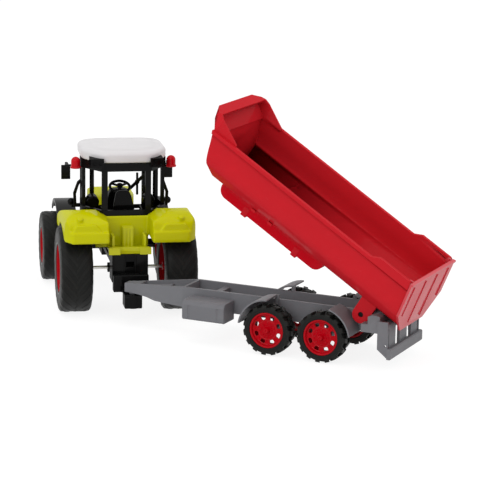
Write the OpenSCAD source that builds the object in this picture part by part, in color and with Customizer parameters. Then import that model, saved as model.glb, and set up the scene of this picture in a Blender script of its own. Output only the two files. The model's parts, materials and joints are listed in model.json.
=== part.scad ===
// Toy farm tractor with a tandem-axle tipping trailer hitched to it.
// Millimetres, +Z up. The tractor points along +X. The floor is Z = 0.
// The trailer is drawn swung to one side, with its tipping body raised.

/* [Tractor] */
// distance between the tractor's axles
wheelbase = 118; // [110:1:126]
// outer radius of a rear tyre
rear_tyre_r = 37.5; // [35:0.5:38.5]
// outer radius of a front tyre
front_tyre_r = 31; // [28:0.2:31.4]
// width over the outer faces of the rear tyres
tractor_w = 117; // [114:1:120]
// width of a rear tyre
rear_tyre_w = 27.5; // [22:0.5:28]
// how much further out the front tyres stand than the rear ones
front_step = 4.1; // [0:0.1:6]
// width of a front tyre
front_tyre_w = 20; // [18:1:21]
// height of the roof's upper face at its rim
roof_top = 139.8; // [136:0.2:144]

/* [Trailer] */
// outer radius of a trailer tyre
trailer_tyre_r = 21; // [19:0.5:22]
// width of a trailer tyre
trailer_tyre_w = 13.5; // [11:0.5:15]
// distance between the trailer's two axles
tandem = 47.2; // [46.8:0.2:52]
// width over the outer faces of the trailer tyres
trailer_w = 76; // [74:1:80]
// distance from the hitch peg to the front trailer axle
drawbar_len = 140.3; // [139:0.1:150]

/* [Tipping body] */
// half the outside width of the body
body_half = 48.2; // [46:0.2:50]
// height of the body's rim above its pivot
rim_h = 54.2; // [50:0.2:58]
// wall thickness of the moulded parts
wall = 1.8; // [1.4:0.1:2.2]

/* [Rest pose] */
// angle of the trailer behind the tractor
trailer_yaw = 55.5; // [0:0.5:56]
// how far the body is tipped
tip_angle = 32.5; // [0:0.5:32.5]

/* [Hidden] */
$fn = 64;
e = 0.01;
gap = 0.4;
// place of the whole model, so that its outline is centred on the origin
shift_x = 45.62;
shift_y = 93.31;

// axles and the bores that carry them
axle_r = 1.5;
bore_r = 1.55;
rear_rim_r = 21;
front_rim_r = 16.4;
trailer_rim_r = 14.7;
rear_out = tractor_w / 2;
rear_in = rear_out - rear_tyre_w;
front_out = rear_out + front_step;
front_in = front_out - front_tyre_w;
trailer_out = trailer_w / 2;
trailer_in = trailer_out - trailer_tyre_w;

// hitch
hitch_x = -52;
peg_r = 3;
socket_top = 27;
socket_floor = 15;

// trailer frame
rail_out = 15.6;
rail_t = 2.2;
rail_top = 42.4;
rail_low = 25.2;
rail_front = 86;
rail_rear = -96;
tip_z = 36.2;
tip_low = 28.8;
guard_in_r = 24.2;
guard_t = 1.2;
beam_rear = -106.7;
beam_low = 9.5;
beam_high = 18.4;
beam_half = 35.2;
deck_top = 40;
deck_low = 29.2;
deck_front = -80;

// tipping pivot, in the trailer's own frame, and its pin
pivot_x = -76;
pivot_z = 40.6;
pin_r = 2.2;
pin_bore_r = 2.25;
ear_in = 21;
ear_out = 24.4;
ear_r = 7.2;

// tipping body, in its own frame with the pivot at the origin
floor_z = 13;
floor_half = 25;
corner_z = 28.4;
corner_half = 46.4;
waist_half = 46.9;
waist_z = 37.5;
bead_z = 51.4;
front_lean = 0.36;
front_x = 158.9;
rear_lean = 0.178;
rear_x = -32.9;
high_rim = 58.2;
head_x = 189.4;
head_z = 67.6;
lip_x = 180;
lip_half = 40.8;
lip_tip_half = 31.1;
gusset_x = 155.3;
head_half = 44.8;

// tailgate hinge, in the tipping body's frame, and its pins
gate_x = -21;
gate_z = 56.3;
gate_pin_r = 0.9;

// ---------- helpers ----------

// draws its children once on each side of the centre plane
module both() {
    children();
    mirror([0, 1, 0]) children();
}

// a half outline followed by its mirror image, as one closed outline
function mirrored(half) = concat(half, [for (i = [len(half) - 1:-1:0]) [-half[i][0], half[i][1]]]);

// the same for a plan, mirrored in the centre plane
function mirrored_plan(half) = concat(half, [for (i = [len(half) - 1:-1:0]) [half[i][0], -half[i][1]]]);

// a line whose inner corners are eased into curves that begin d before each corner
function eased(p, d, n = 3) = concat([p[0]], [for (i = [1:len(p) - 2])
    let (a = p[i - 1], b = p[i], c = p[i + 1], u = b + (a - b) * min(0.48, d / norm(a - b)),
        v = b + (c - b) * min(0.48, d / norm(c - b)))
    for (t = [0:1 / n:1]) (1 - t) * (1 - t) * u + 2 * t * (1 - t) * b + t * t * v], [p[len(p) - 1]]);

// extrudes a Y-Z outline along X, from x0 over a length
module run_x(x0, len) {
    translate([x0, 0, 0]) rotate([90, 0, 90]) linear_extrude(len) children();
}

// extrudes an X-Z outline along Y, from y0 towards +Y over a width
module run_y(y0, w) {
    translate([0, y0 + w, 0]) rotate([90, 0, 0]) linear_extrude(w) children();
}

// a box given by its two opposite corners
module block(a, b) {
    translate(a) cube(b - a);
}

// a cylinder along Y between two Y values
module rod_y(r, y0, y1) {
    translate([0, y1, 0]) rotate([90, 0, 0]) cylinder(r = r, h = y1 - y0);
}

// turns an outline of radius and width about the Y axis
module turned() {
    rotate([-90, 0, 0]) rotate_extrude() children();
}

module at_origin() {
    translate([shift_x, shift_y, 0]) children();
}

// trailer frame: origin on the floor under the front trailer axle, +X towards the hitch
module at_trailer() {
    at_origin() translate([hitch_x, 0, 0]) rotate([0, 0, trailer_yaw]) translate([-drawbar_len, 0, 0])
        children();
}

// tipping body's frame: origin on the tipping pivot
module at_tipper() {
    at_trailer() translate([pivot_x, 0, pivot_z]) rotate([0, -tip_angle, 0]) children();
}

// ---------- wheels ----------

// outer face towards +Y, at y = 0; the tyre lies between y = -w and 0
module tyre(r, rim_r, w) {
    s = w * 0.08;
    lip = w * 0.04;
    turned() polygon([[rim_r, -w + lip], [rim_r, -lip], [rim_r + lip, 0], [r - 2 * s, 0],
        [r - 0.5 * s, -0.5 * s],
        [r, -2 * s], [r, -w + 2 * s], [r - 0.5 * s, -w + 0.5 * s], [r - 2 * s, -w], [rim_r + lip, -w]]);
}

// barrel with a dished disc, a hub and a ring of holes and bolts
module rim(rim_r, w, holes, hub_r, dish) {
    s = w * 0.04;
    t = 1.6;
    hole_r = (rim_r - t + hub_r) / 2 + 0.3;
    difference() {
        union() {
            turned() polygon([[bore_r - 0.05, -w + s], [hub_r * 0.5, -w + s], [hub_r * 0.5, -dish - t],
                [rim_r - t - 0.4, -dish - t], [rim_r - t, -w + s], [rim_r, -w + s], [rim_r, -s],
                [rim_r - t, -s], [rim_r - t - 0.8, -dish], [hub_r, -dish], [hub_r - 0.6, -dish + 0.9],
                [bore_r + 1.2, -dish + 0.9], [bore_r + 0.8, -dish + 1.7], [bore_r - 0.05, -dish + 1.7]]);
            for (i = [0:holes - 1])
                rotate([0, i * 360 / holes, 0]) translate([hub_r - 1.7, 0, 0])
                    rod_y(0.5, -dish + 0.5, -dish + 1.4);
        }
        for (i = [0:holes - 1])
            rotate([0, (i + 0.5) * 360 / holes, 0]) translate([hole_r, 0, 0])
                window(rim_r * 0.105, dish + t + 1);
    }
}

// one rounded hole of a rim's disc, cut along Y
module window(r, depth) {
    translate([0, 1, 0]) rotate([90, 0, 0]) linear_extrude(depth + 1) union() {
        translate([0, r * 0.55]) circle(r = r, $fn = 32);
        translate([0, -r * 0.55]) circle(r = r, $fn = 32);
        translate([-r, -r * 0.55]) square([2 * r, 1.1 * r]);
    }
}

// an axle pressed into both rims, with domed ends
module axle(len) {
    both() rod_y(axle_r, -e, len / 2 - 0.6);
    both() translate([0, len / 2 - 0.6, 0]) sphere(r = axle_r);
}

module at_rear_axle() {
    at_origin() translate([0, 0, rear_tyre_r]) children();
}

module at_front_axle() {
    at_origin() translate([wheelbase, 0, front_tyre_r]) children();
}

module at_trailer_axle(n) {
    at_trailer() translate([-n * tandem, 0, trailer_tyre_r]) children();
}

module rear_axle() {
    color("silver") at_rear_axle() axle(2 * (rear_out - 5));
}

module front_axle() {
    color("silver") at_front_axle() axle(2 * (front_out - 5));
}

module trailer_front_axle() {
    color("silver") at_trailer_axle(0) axle(2 * (trailer_out - 1));
}

module trailer_rear_axle() {
    color("silver") at_trailer_axle(1) axle(2 * (trailer_out - 1));
}

module rear_wheel_rim() {
    translate([0, rear_out, 0]) rim(rear_rim_r, rear_tyre_w, 8, 8, 3.6);
}

module front_wheel_rim() {
    translate([0, front_out, 0]) rim(front_rim_r, front_tyre_w, 8, 6.5, 3.2);
}

module trailer_wheel_rim() {
    translate([0, trailer_out, 0]) rim(trailer_rim_r, trailer_tyre_w, 8, 7.2, 2.6);
}

module rear_rim_left() {
    color("firebrick") at_rear_axle() rear_wheel_rim();
}

module rear_rim_right() {
    color("firebrick") at_rear_axle() mirror([0, 1, 0]) rear_wheel_rim();
}

module front_rim_left() {
    color("firebrick") at_front_axle() front_wheel_rim();
}

module front_rim_right() {
    color("firebrick") at_front_axle() mirror([0, 1, 0]) front_wheel_rim();
}

module trailer_rim_fl() {
    color("firebrick") at_trailer_axle(0) trailer_wheel_rim();
}

module trailer_rim_fr() {
    color("firebrick") at_trailer_axle(0) mirror([0, 1, 0]) trailer_wheel_rim();
}

module trailer_rim_rl() {
    color("firebrick") at_trailer_axle(1) trailer_wheel_rim();
}

module trailer_rim_rr() {
    color("firebrick") at_trailer_axle(1) mirror([0, 1, 0]) trailer_wheel_rim();
}

module rear_tyre_left() {
    color("dimgray") at_rear_axle() translate([0, rear_out, 0]) tyre(rear_tyre_r, rear_rim_r, rear_tyre_w);
}

module rear_tyre_right() {
    color("dimgray") at_rear_axle() mirror([0, 1, 0]) translate([0, rear_out, 0])
        tyre(rear_tyre_r, rear_rim_r, rear_tyre_w);
}

module front_tyre_left() {
    color("dimgray") at_front_axle() translate([0, front_out, 0])
        tyre(front_tyre_r, front_rim_r, front_tyre_w);
}

module front_tyre_right() {
    color("dimgray") at_front_axle() mirror([0, 1, 0]) translate([0, front_out, 0])
        tyre(front_tyre_r, front_rim_r, front_tyre_w);
}

module trailer_wheel_tyre() {
    translate([0, trailer_out, 0]) tyre(trailer_tyre_r, trailer_rim_r, trailer_tyre_w);
}

module trailer_tyre_fl() {
    color("dimgray") at_trailer_axle(0) trailer_wheel_tyre();
}

module trailer_tyre_fr() {
    color("dimgray") at_trailer_axle(0) mirror([0, 1, 0]) trailer_wheel_tyre();
}

module trailer_tyre_rl() {
    color("dimgray") at_trailer_axle(1) trailer_wheel_tyre();
}

module trailer_tyre_rr() {
    color("dimgray") at_trailer_axle(1) mirror([0, 1, 0]) trailer_wheel_tyre();
}

// ---------- tractor ----------

// gearbox, engine block and front axle carrier in one black moulding
module chassis() {
    color("black") at_origin() difference() {
        union() {
            block([-33, -15.3, 32], [-14, 15.3, 56]);
            block([-14, -12, 29], [14, 12, 56]);
            block([14, -9.5, 34], [104, 9.5, 56]);
            block([104, -9, 24], [132, 9, 56]);
            both() rod_y_at(0, rear_tyre_r, 4.2, 12, 15.5);
            both() rod_y_at(wheelbase, front_tyre_r, 4, 9, front_in - 1.5);
            both() block([-33.9, 14, 33], [-33, 15.3, 56]);
            both() block([-33.9, 4.2, 33], [-33, 5.2, 56]);
        }
        rod_y_at(0, rear_tyre_r, bore_r, -60, 60);
        rod_y_at(wheelbase, front_tyre_r, bore_r, -60, 60);
        block([-35, -3.4, 45], [-26, 3.4, 49.5]);
        both() block([30, 5.5, 38], [96, 12, 50]);
    }
}

// a rod along Y through a given X and Z
module rod_y_at(x, z, r, y0, y1) {
    translate([x, 0, z]) rod_y(r, y0, y1);
}

// tow bracket with the socket that takes the trailer's peg
module hitch_block() {
    color("black") at_origin() difference() {
        union() {
            block([-42, -15, 25.5], [-33.9 - gap / 10, 15, 40]);
            block([hitch_x - 6.4, -7.4, socket_floor], [-42 + e, 7.4, socket_top]);
            translate([hitch_x, 0, socket_floor]) cylinder(r = 7.4, h = socket_top - socket_floor);
        }
        translate([hitch_x, 0, socket_floor + 3]) cylinder(r = peg_r + 0.08, h = 30);
        block([-40, -11, 20], [-36, 11, 36]);
    }
}

// outline of the fenders seen from the side, d further in than the outer skin
module fender_side(d) {
    polygon(concat([[-41 + d, 60], [-43 + d, 70], [-43 + d, 77]], eased([[-40 + d, 77.6], [-39.4 + d, 84],
        [-33 + d, 89.6 - d], [-24, 91.8 - d], [-13, 91.2 - d], [4, 87.8 - d], [20, 84 - d],
            [33 - d, 79 - d],
        [39.6 - d, 71], [41.4 - d, 60]], 9)));
}

// half outline of the fenders seen from behind
module fender_rear(d) {
    polygon(concat([[18.5 + d, 55]], eased([[18.5 + d, 85 - d], [24, 87.6 - d], [31, 91 - d],
        [39, 92.6 - d],
        [47.6, 92 - d], [53.8 - d, 88.8 - d], [55.8 - d, 82], [55.8 - d, 74], [54.4 - d, 55]], 6)));
}

module fender_block(d, low) {
    intersection() {
        run_y(10, 50) fender_side(d);
        run_x(-50, 100) fender_rear(d);
        block([-50, 0, low], [50, 60, 100]);
        // the rear corners are rounded so that the tipping body clears them
        linear_extrude(120) polygon(concat([[60, 0], [60, 60]], eased([[-30, 60], [-31 + 1.5 * d, 57],
            [-44 + d, 50],
            [-46 + d, 30], [-46, 0]], 6)));
    }
}

// both rear fenders and the panel between them, one lime moulding
module rear_fenders() {
    color("yellowgreen") at_origin() {
        both() difference() {
            union() {
                fender_block(0, 67.6);
                translate([-35.2, 43, 84.6]) rotate([0, -28, 0]) cylinder(r = 2.6, h = 5.4);
            }
            fender_block(wall, 60);
            // recessed lamp panel under the knob
            run_x(-50, 8.7) polygon([[25, 77.6], [49, 77.6], [45.5, 83.4], [30, 83.4]]);
            rod_y_at(0, rear_tyre_r, rear_tyre_r + 1.6, rear_in - 1.6, 70);
            // hollow underside, open towards the wheel
            block([-41, 20.4, 60], [45, 60, 67.7]);
            // row of notches along the lower rear edge
            for (i = [0:4]) block([-45, 24 + 6 * i, 67], [-42.2, 26.4 + 6 * i, 69]);
        }
        both() lamp_tray();
        block([-9.5, -18.6, 57], [-7.5, 18.6, 84.4]);
        // tab at the foot of the centre panel
        block([-9.5, 17, 57], [-5, 27, 60.6]);
    }
}

// back wall of the recessed lamp panel
module lamp_tray() {
    run_x(-41.6, 1.4) polygon([[24.6, 77.2], [49.4, 77.2], [46, 83.8], [29.6, 83.8]]);
}

// bar, feet, fins and ribbed block of the three-point linkage
module rear_linkage() {
    color("yellowgreen") at_origin() {
        block([-31, -16.8, 56.05], [-9.6, 16.8, 58.4]);
        block([-31.4, -16.8, 58.4 - e], [-28, 16.8, 61.6]);
        both() block([-34.4, 8.4, 56.05], [-31 + e, 18, 61.8]);
        both() block([-27, 12.4, 58.4 - e], [-13, 14.4, 70.6]);
        block([-18.5, -4.6, 58.4 - e], [-9.6, 4.6, 76]);
        for (i = [-1:1]) block([-19.4, i * 3 - 0.7, 58.4 - e], [-18.5 + e, i * 3 + 0.7, 75]);
    }
}

module bonnet_plan(d) {
    polygon(mirrored_plan(eased([[59.6 + d, 12.4 - d], [84, 17.4 - d], [104, 19.6 - d], [136 - d, 19.6 - d],
        [152 - d, 14 - d], [153.4 - d, 3]], 8)));
}

module bonnet_side(d) {
    polygon(concat([[50, 40]], eased([[50, 90 - d], [82, 89.4 - d], [104, 87.4 - d], [126, 82.2 - d],
        [143, 76.8 - d], [152 - d, 70 - d], [154 - d, 58], [154 - d, 40]], 10)));
}

module bonnet_front(d) {
    polygon(mirrored(eased([[3, 90 - d], [12, 88.4 - d], [18.4 - d, 83.6 - d], [19.8 - d, 74],
        [19.8 - d, 40]], 6)));
}

module bonnet_block(d, low) {
    intersection() {
        translate([0, 0, low]) linear_extrude(60) bonnet_plan(d);
        run_y(-30, 60) bonnet_side(d);
        run_x(50, 120) bonnet_front(d);
    }
}

// engine cover with side vents, lime
module bonnet() {
    color("yellowgreen") at_origin() difference() {
        bonnet_block(0, 57.6);
        bonnet_block(wall, 50);
        block([146, -13.2, 50], [160, 13.2, 72]);
        for (i = [0:4]) both() translate([100 + 6 * i, 15, 64]) rotate([0, 12, 0]) cube([2.4, 10, 12]);
        both() block([136, 13.2, 64], [160, 30, 71.4]);
    }
}

// black radiator grille with bars, set into the nose
module grille() {
    color("black") at_origin() {
        block([145.6, -13, 57], [148.4, 13, 71.8]);
        for (i = [0:4]) block([148.4 - e, -12, 58.4 + 2.8 * i], [151.4, 12, 59.6 + 2.8 * i]);
        block([132.2, -9, 57], [145.6 + e, 9, 60]);
    }
}

// pair of lenses at the bonnet's front corners
module headlamps() {
    color("whitesmoke") at_origin() both() intersection() {
        bonnet_block(0.5, 50);
        block([137.6, 13.4, 64.2], [160, 30, 71.2]);
    }
}

// weight block at the front end
module front_weight() {
    color("black") at_origin() {
        block([132.1, -13, 38], [150, 13, 54]);
        for (i = [-2:2]) block([150 - e, i * 5 - 1.8, 39.5], [153, i * 5 + 1.8, 52.5]);
    }
}

// mudguard over a front wheel
module front_fender() {
    r = front_tyre_r + 9.8;
    translate([wheelbase, 0, front_tyre_r]) difference() {
        rod_y(r + 1.8, 33, 50.5);
        rod_y(r, 32, 49);
        rod_y(r - 1.6, 48, 60);
        run_y(0, 80) polygon([[-60, -60], [60, -60], [60, 20], [0, 10], [-60, 10]]);
        run_y(0, 80) polygon([[28, 0], [60, 0], [60, 60], [28, 60]]);
    }
    // stay that joins the mudguard to the chassis
    block([wheelbase - 3, 9.6, 50], [wheelbase + 3, front_in - 2, 53]);
    block([wheelbase - 3, front_in - 4.4, 50], [wheelbase + 3, front_in - 2 + e, 70.7]);
}

module front_fender_left() {
    color("dimgray") at_origin() front_fender();
}

module front_fender_right() {
    color("dimgray") at_origin() mirror([0, 1, 0]) front_fender();
}

// plan of the cab, d further in than its outer face
module cab_plan(d) {
    both() polygon([[-7 + d, -e], [-7 + d, 21.5 - 0.6 * d], [16, 36.4 - d], [24, 37 - d], [50, 34.4 - d],
        [58 - d, 24 - 0.6 * d], [59.4 - d, 15], [59.4 - d, -e]]);
}

// floor, low walls and inner wheel arches, black
module cab_tub() {
    color("black") at_origin() {
        difference() {
            intersection() {
                translate([0, 0, 57]) linear_extrude(27) cab_plan(1.2);
                block([-7, -18, 50], [60, 18, 90]);
            }
            translate([0, 0, 60]) linear_extrude(40) cab_plan(3.2);
            block([20, -40, 66], [70, 40, 90]);
        }
        both() block([-5, 15.9, 60], [34, 18, 84]);
    }
}

module post(x, y, w, d, z0, z1, turn) {
    translate([x, y, z0]) rotate([0, 0, turn]) translate([-d / 2, -w / 2, 0]) cube([d, w, z1 - z0]);
}

// pillars, roof ring and sill, black
module cab_frame() {
    top = roof_top - 9.4;
    color("black") at_origin() {
        difference() {
            translate([0, 0, top - 8]) linear_extrude(8) cab_plan(0);
            translate([0, 0, top - 9]) linear_extrude(10) cab_plan(3);
        }
        // sill: it follows the fenders' upper edge at the back
        difference() {
            translate([0, 0, 78]) linear_extrude(10.8) cab_plan(0);
            translate([0, 0, 77]) linear_extrude(13) cab_plan(3);
            block([52, -40, 70], [70, 40, 90]);
            block([-8, -19, 70], [0, 19, 84.4]);
            both() fender_block(-0.1, 60);
        }
        both() post(-4.6, 18.6, 5, 3.4, 88, top - 7.9, 0);
        both() post(20, 34.2, 3, 5, 88, top - 7.9, 0);
        both() post(50.4, 32.2, 3, 4.4, 77, top - 7.9, -20);
        both() post(57.4, 23, 3.4, 3, 77, top - 7.9, -20);
        block([56.4, -24, 76.6], [59.2, 24, 80]);
        both() block([49, 30.6, 77], [52, 33.6, 88]);
    }
}

// seat with a tapered back
module seat() {
    color("black") at_origin() {
        block([8, -9, 60], [28, 9, 76]);
        translate([0, 0, 76 - e]) block([6, -10, 0], [30, 10, 5]);
        run_x(3.6, 4) polygon(eased([[1, 76], [10.6, 76], [10.4, 87], [7.6, 103.6], [-4, 103.6],
            [-8.4, 87], [-9, 76], [1, 76]], 4));
    }
}

// console in front of the driver with the steering column
module dashboard() {
    color("black") at_origin() {
        run_x(46, 10) polygon(mirrored(eased([[2, 60.1], [11, 60.1], [10.4, 88], [8.4, 95.6],
            [2, 96.4]], 3)));
        translate([47, 0.6, 81]) rotate([0, -24, 0]) cylinder(r = 1.8, h = 19.4);
        both() block([42, 19, 60.1], [46, 30, 88]);
        both() translate([32, 24.5, 88 - e]) rotate([0, 90, 0]) cylinder(r = 5.4, h = 14);
    }
}

module steering_wheel() {
    color("black") at_origin() translate([38.4, 0.6, 100.2]) rotate([0, -24, 0]) {
        rotate_extrude() translate([8.6, 0]) circle(r = 1.2, $fn = 24);
        cylinder(r = 2.6, h = 2.2);
        for (i = [0:2]) rotate([0, 0, 60 + i * 120]) translate([1.8, -0.9, 0]) cube([6.2, 1.8, 1.2]);
    }
}

// windscreen wiper: a thick arm from the top corner and a hanging blade
module wiper() {
    color("black") at_origin() {
        translate([53, -24.4, 108.6]) rotate([46.5, 0, 0]) translate([0, -1.3, -19.6]) cube([2, 2.6, 19.6]);
        block([53.3, -17.6, 89.6], [54.7, -15.6, 109.2]);
        translate([53, -16.6, 101]) rotate([0, 90, 0]) cylinder(r = 2, h = 2);
    }
}

// white roof: a slab with chamfered edges and a low crown
module roof() {
    z0 = roof_top - 9.4 + e;
    color("white") at_origin() {
        translate([0, 0, z0]) linear_extrude(roof_top - z0 - 2.4) roof_plan(0);
        for (s = [0:5]) translate([0, 0, roof_top - 2.4 - e]) linear_extrude(1.4 + 2.2 * sin(15 * s))
            roof_plan(0.5 + 3.6 * (1 - cos(15 * s)));
    }
}

module roof_plan(d) {
    polygon(mirrored_plan(eased([[-10.4 + d, 6], [-10 + d, 22 - 0.6 * d], [14, 36.8 - d], [54, 36.6 - d],
        [64 - d, 26 - 0.6 * d], [65.6 - d, 6]], 7)));
}

// lamp housings clipped to the roof's rear corners
module work_lamps() {
    z0 = roof_top - 13.2;
    color("black") at_origin() both() difference() {
        translate([0, 0, z0]) linear_extrude(7.6) polygon([[-12.4, 20], [-10.2, 31], [6, 31], [-6, 20]]);
        translate([0, 0, z0 - 1]) linear_extrude(10) roof_plan(-0.1);
        translate([0, 0, z0 - 1]) linear_extrude(10) cab_plan(-0.1);
        // two round hollows in the rear face
        for (i = [0, 1]) translate([-12.6 + i, 22.8 + 5 * i, z0 + 3.8]) rotate([0, 90, -11])
            cylinder(r = 1.8, h = 1.6);
    }
}

// red domes on arms at both sides
module beacons() {
    z = roof_top - 18.3;
    color("red") at_origin() both() translate([17, 41.2, z]) {
        cylinder(r = 4.6, h = 1.6);
        translate([0, 0, 1.6 - e]) cylinder(r = 4, h = 4.4);
        translate([0, 0, 6 - 2 * e]) sphere(r = 4);
    }
}

// mirrors on arms from the front pillars
module mirrors() {
    color("black") at_origin() both() {
        block([52.6, 33.6, 115], [55.2, 46, 117.6]);
        block([52.6, 43.4, 115], [66, 46, 117.6]);
        block([64, 41.2, 102.4], [66, 49.2, 115 + e]);
    }
}

// bowed grab rails beside the doors
module handrails() {
    color("black") at_origin() both() translate([34, 37.1, 0]) run_x(0, 2.6)
        polygon([[0, 84], [4, 84], [4.6, 96], [1, 106], [-1.4, 108], [-1.4, 104.6], [-0.4, 103],
            [2, 95.4], [1.6, 86.6], [0, 86.6]]);
}

// round marker lamps on short stalks by the door sills
module side_lamps() {
    color("black") at_origin() both() {
        difference() {
            block([45, 33.2, 81.4], [48, 42, 84.4]);
            translate([0, 0, 76]) linear_extrude(14) cab_plan(0);
        }
        translate([46.5, 42.3, 85.9]) sphere(r = 3.2);
    }
}

// countersunk screws under the chassis
module tractor_screws() {
    color("silver") at_origin() for (p = [[-24, 0, 32], [-9, 0, 29], [60, 0, 34], [110, 0, 24]])
        translate([p[0], p[1], p[2] - 0.8]) difference() {
            cylinder(r = 2.2, h = 0.8 - e);
            block([-1.6, -0.3, -1], [1.6, 0.3, 0.3]);
            block([-0.3, -1.6, -1], [0.3, 1.6, 0.3]);
        }
}

// ---------- trailer ----------

// side view of the frame: level rails, then a drawbar that tapers towards its tip
module frame_side() {
    tip = drawbar_len + 5.4;
    polygon([[rail_rear, rail_low], [rail_front, rail_low], [115, 25.6], [123, 27.4], [132, 28.4],
        [tip, tip_low], [tip, tip_z], [rail_front - 1, rail_top], [rail_rear, rail_top]]);
}

// plan of the rails and the drawbar, d further in than the outer faces
module frame_plan(d) {
    both() polygon([[rail_rear, -e], [rail_rear, rail_out - d], [rail_front, rail_out - d],
        [drawbar_len - 2, 5 - 0.4 * d], [drawbar_len + 5.4, 4.4 - 0.4 * d], [drawbar_len + 5.4, -e]]);
}

// rails, drawbar, cross members, axle bosses, pivot bosses, rear deck and hitch peg
module trailer_frame() {
    color("gray") at_trailer() difference() {
        union() {
            difference() {
                intersection() {
                    translate([0, 0, 20]) linear_extrude(30) frame_plan(0);
                    run_y(-30, 60) frame_side();
                }
                // inside of the rails, and the underside of the drawbar
                difference() {
                    translate([0, 0, 20]) linear_extrude(30) frame_plan(rail_t);
                    block([130, -20, 10], [160, 20, 50]);
                    block([rail_front - 2.2, -20, 20], [rail_front + 0.4, 20, 50]);
                    block([56, -20, 20], [61.6, 20, 39.2]);
                    block([10.4, -20, 20], [13.6, 20, 34]);
                    block([-30, -20, 20], [-26.6, 20, 34]);
                    run_y(-20, 40) polygon([[106, 33], [131, 32], [131, 34.6], [106, 37.2]]);
                }
            }
            // bosses around the axles and the tipping pin
            for (n = [0, 1]) both()
                rod_y_at(-n * tandem, trailer_tyre_r, 4.2, rail_out - rail_t, trailer_in - 1);
            for (n = [0, 1]) both() block([-n * tandem - 4.2, rail_out - rail_t, trailer_tyre_r],
                [-n * tandem + 4.2, rail_out, rail_low + e]);
            both() rod_y_at(pivot_x, pivot_z, 5.4, rail_out - rail_t, ear_in - gap);
            // rear deck with a curved hump across it
            block([rail_rear, -32.9, deck_low], [deck_front, 32.9, 35.8]);
            block([rail_rear, -32.9, 34], [-85.6, 32.9, deck_top]);
            intersection() {
                rod_y_at(-91.4, 32, 11.6, -32.9, 32.9);
                block([rail_rear, -33, deck_top - e], [-85.6, 33, 50]);
            }
            run_y(-12, 24) polygon([[-90.4, 34], [-80, 34], [-80, 48.6], [-90.4, 44.4]]);
            // peg that turns in the tractor's socket
            translate([drawbar_len, 0, socket_floor + 3.8])
                cylinder(r = peg_r, h = tip_low - socket_floor - 3);
        }
        for (n = [0, 1]) rod_y_at(-n * tandem, trailer_tyre_r, bore_r, -40, 40);
        rod_y_at(pivot_x, pivot_z, pin_r, -40, 40);
        // slots for the body's ears
        both() block([-91, ear_in - gap, 20], [-70, ear_out + gap, 60]);
        // hollow underside of the deck
        block([rail_rear + 2, -12, 20], [-82, 12, 38]);
        both() block([rail_rear + 2, ear_out + 3, 20], [-82, 31, 34]);
    }
}

// storage boxes on both sides, with two strap grooves each
module toolboxes() {
    far = 76.4;
    near = 38.6;
    color("gray") at_trailer() both() difference() {
        run_x(near, far - near) polygon([[rail_out + e, 20.6], [34.6, 20.6], [36, 22], [36, 33.2],
            [34.8, 35.6],
            [32.4, 36.8], [rail_out + e, 36.8]]);
        run_x(near + 1.6, far - near - 3.2) polygon([[rail_out - 1, 19], [34.4, 19], [34.4, 32.8],
            [31.8, 35.2],
            [rail_out - 1, 35.2]]);
        for (x = [near + 5, far - 7]) block([x, 35.4, 20], [x + 2, 37, 33]);
    }
}

// part ring of a mudguard about an axle, between two angles above the horizontal
module guard_arc(a0, a1) {
    reach = 60;
    intersection() {
        difference() {
            circle(r = guard_in_r + guard_t, $fn = 128);
            circle(r = guard_in_r, $fn = 128);
        }
        polygon([[0, 0], reach * [cos(a0), sin(a0)], reach * [cos((a0 + a1) / 2), sin((a0 + a1) / 2)],
            reach * [cos(a1), sin(a1)]]);
    }
}

// mudguards ahead of the front trailer wheels
module front_guards() {
    color("gray") at_trailer() both() {
        run_y(rail_out + e, 22.4) translate([0, trailer_tyre_r]) guard_arc(8, 90);
        block([-1.6, rail_out + e, 38], [1.4, rail_out + 1.8, 46.2]);
    }
}

// mudguards behind the rear trailer wheels
module rear_guards() {
    color("gray") at_trailer() both() {
        run_y(rail_out + e, 22.4) translate([-tandem, trailer_tyre_r]) guard_arc(106, 172);
        block([-56, rail_out + e, 34], [-53, rail_out + 1.8, 44.6]);
    }
}

// lamp beam on posts, with side plates up to the deck
module rear_bumper() {
    color("gray") at_trailer() difference() {
        union() {
            run_y(-beam_half, 2 * beam_half) polygon([[beam_rear, beam_low + 1], [beam_rear, beam_high - 1],
                [beam_rear + 0.8, beam_high], [beam_rear + 3.6, beam_high], [beam_rear + 3.6, beam_low],
                [beam_rear + 0.8, beam_low]]);
            block([-103.6, -33.2, 33.6], [rail_rear - e, 33.2, 37.4]);
            block([-103.4, -7.9, 12], [-101, 7.9, 34]);
            both() block([-103.4, 17, 12], [-101, 31, 34]);
            both() run_y(33, 2) polygon([[-103.6, 10], [-94.8, 17], [-94.8, 39], [-95.6, 39.8],
                [-103.6, 39.8]]);
        }
        both() rod_y_at(-101.6, 20.4, 0.9, 32, 40);
    }
}

module trailer_screws() {
    color("silver") at_trailer() for (p = [[59.3, 8], [59.3, -8], [12, 0], [-28.3, 0]])
        translate([p[0], p[1], rail_low - 0.9]) difference() {
            cylinder(r = 1.6, h = 0.9 - e);
            block([-1.2, -0.25, -1], [1.2, 0.25, 0.4]);
            block([-0.25, -1.2, -1], [0.25, 1.2, 0.4]);
        }
}

// pin pressed into the frame, on which the body tips
module tip_pin() {
    color("black") at_trailer() rod_y_at(pivot_x, pivot_z, pin_r, -ear_out + 1, ear_out - 1);
}

// ---------- tipping body ----------

// outline across the body, d further in than its outer skin
module body_section(d, top) {
    polygon(mirrored(eased([[45.8 - d, top], [45.8 - d, 44], [waist_half - d, waist_z],
        [corner_half - d, corner_z + 0.5 * d], [floor_half - 0.35 * d, floor_z + d],
            [12, floor_z + d]], 4)));
}

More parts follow.
